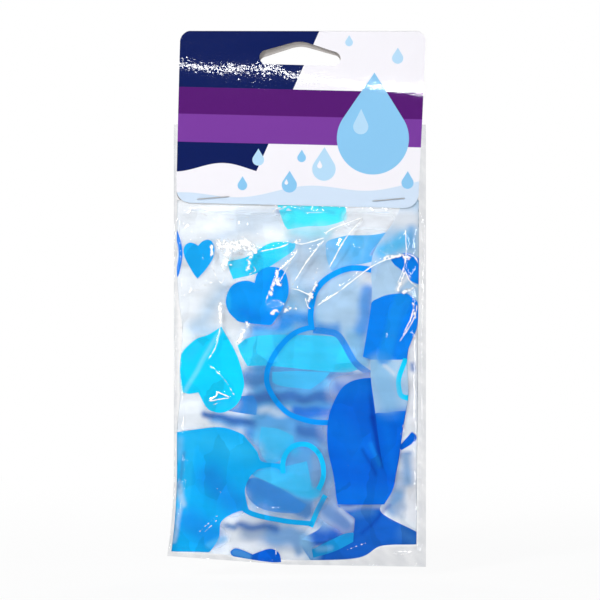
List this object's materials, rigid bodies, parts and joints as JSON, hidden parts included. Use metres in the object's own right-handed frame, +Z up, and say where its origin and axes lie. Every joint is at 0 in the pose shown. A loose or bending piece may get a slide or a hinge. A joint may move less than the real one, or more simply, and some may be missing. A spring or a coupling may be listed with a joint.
{
  "type": "shower cap in hang pack",
  "caption": "Film shower cap with elastic, folded in a clear bag that hangs from a stapled, folded header card with a peg slot.",
  "frame": {"origin": "peak of the hang slot, where a display peg carries the pack, midway between the card's two panels", "axes": "+Z up the hanging pack, -Y towards the printed front, +X to the right seen from the front"},
  "size_m": [0.1, 0.009, 0.2123],
  "materials": {
    "card_board": "gloss laminated print",
    "staple_wire": "zinc-plated steel wire",
    "bag_film": "clear polypropylene film",
    "cap_film": "milky film with printed hearts",
    "cap_elastic": "white covered elastic"
  },
  "bodies": {
    "header": {"header_card": "card_board", "staple_left": "staple_wire", "staple_right": "staple_wire", "bag_mouth": "bag_film"},
    "bag": {"bag_pouch": "bag_film", "cap_film": "cap_film", "cap_elastic": "cap_elastic"}
  },
  "joints": [
    {"name": "bag_swing", "type": "hinge", "parent": "header", "child": "bag", "pos_m": [0, 0, -0.06679], "axis": [1, 0, 0], "range_deg": [-90, 90]}
  ]
}
